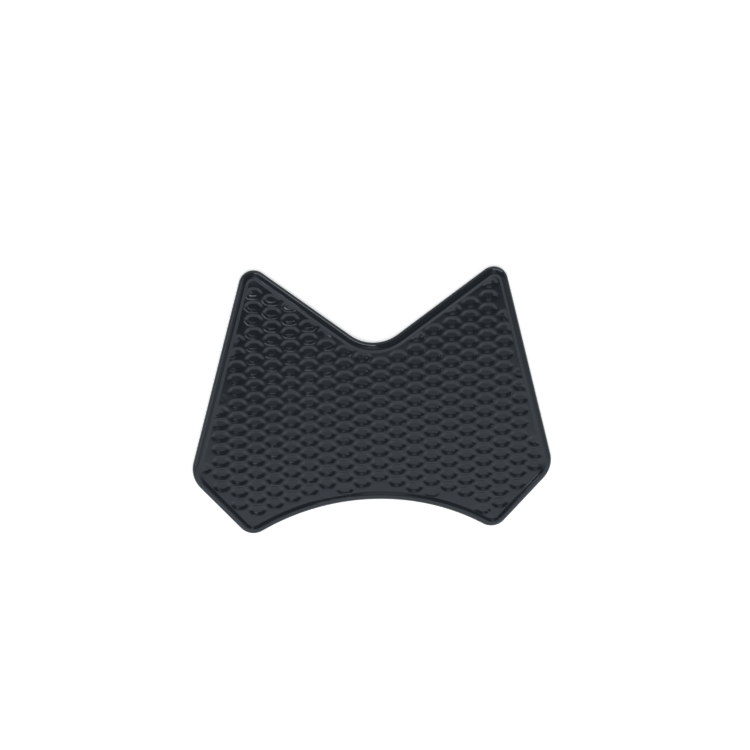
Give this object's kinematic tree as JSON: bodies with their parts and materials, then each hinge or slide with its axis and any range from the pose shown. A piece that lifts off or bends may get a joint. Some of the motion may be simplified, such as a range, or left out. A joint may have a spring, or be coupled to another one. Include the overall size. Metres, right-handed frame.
{
  "type": "motorcycle tank pad",
  "caption": "Flat moulded rubber pad with two ears, a notch, a hollow lower edge, a rounded rim and a honeycomb of shallow pockets, stuck on a fuel tank.",
  "frame": {"origin": "bottom centre of the bounding box, on the adhesive face", "axes": "+X across the pad, +Y towards the two ears, +Z out of the patterned face"},
  "size_m": [0.16, 0.1204, 0.0032],
  "materials": {
    "moulded_rubber": "satin to gloss, dark charcoal with a slight blue cast"
  },
  "bodies": {
    "root": {"pad_body": "moulded_rubber"}
  },
  "joints": []
}
